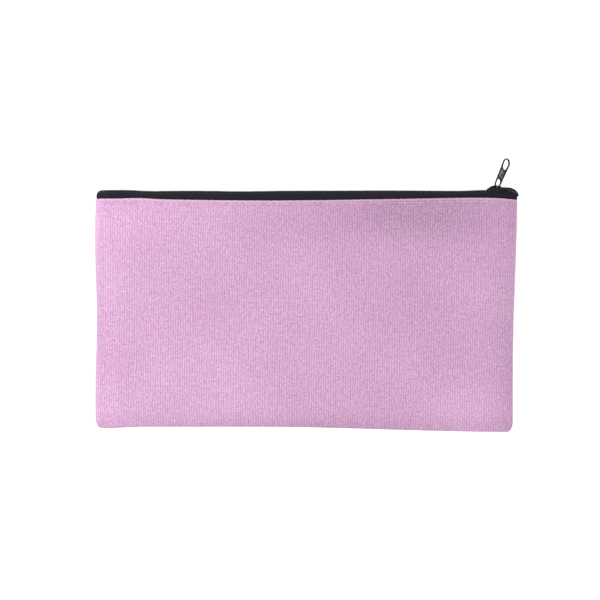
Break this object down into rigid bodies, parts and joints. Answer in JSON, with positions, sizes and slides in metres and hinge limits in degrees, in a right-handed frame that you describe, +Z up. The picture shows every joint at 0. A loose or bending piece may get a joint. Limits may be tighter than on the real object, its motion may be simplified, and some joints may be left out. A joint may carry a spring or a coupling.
{
  "type": "pencil case",
  "caption": "Flat zip pouch of two sewn canvas panels for pencils, opened by a coil zip with a swinging pull tab along its top edge.",
  "frame": {"origin": "middle of the flat face of the back panel, which the case lies on", "axes": "+X along the zip towards its closed end, +Y from the bottom seam to the zip, +Z up out of the front panel"},
  "size_m": [0.21, 0.1356, 0.0109],
  "materials": {
    "canvas": "plain-weave cotton canvas, dyed pale pink, matte",
    "sewing_thread": "spun polyester thread, matte",
    "zip_tape": "woven polyester tape, matte black",
    "nylon_coil": "drawn nylon filament, satin black",
    "zip_cord": "twisted polyester cord and thread, matte black",
    "slider_enamel": "die-cast zinc, black enamel",
    "tab_metal": "die-cast zinc, dark gunmetal plating"
  },
  "bodies": {
    "back_half": {"back_panel": "canvas", "back_hem_stitch": "sewing_thread", "back_zip_tape": "zip_tape", "back_zip_coil": "nylon_coil", "back_coil_core": "zip_cord", "back_coil_stitch": "zip_cord", "left_seam_allowance": "canvas", "left_overlock": "sewing_thread", "right_seam_allowance": "canvas", "right_overlock": "sewing_thread", "bottom_seam_allowance": "canvas", "bottom_overlock": "sewing_thread"},
    "front_half": {"front_panel": "canvas", "front_hem_stitch": "sewing_thread", "front_zip_tape": "zip_tape", "front_zip_coil": "nylon_coil", "front_coil_core": "zip_cord", "front_coil_stitch": "zip_cord"},
    "slider": {"slider_body": "slider_enamel"},
    "pull_tab": {"pull_tab": "tab_metal"}
  },
  "joints": [
    {"name": "slider_travel", "type": "slide", "parent": "back_half", "child": "slider", "axis": [-1, 0, 0], "range_m": [0, 0.188]},
    {"name": "mouth_open", "type": "hinge", "parent": "back_half", "child": "front_half", "pos_m": [0, -0.05975, 0.0034], "axis": [1, 0, 0], "range_deg": [0, 18.4], "deforming": ["front_zip_tape", "front_zip_coil", "front_coil_core", "front_coil_stitch"]},
    {"name": "tab_swing", "type": "hinge", "parent": "slider", "child": "pull_tab", "pos_m": [0.09405, 0.06111, 0.00566], "axis": [-0.1525, 0.4708, 0.869], "range_deg": [-6, 112]}
  ],
  "couplings": [
    {"joint": "mouth_open", "follows": "slider_travel", "rad_per_m": 1.7}
  ]
}
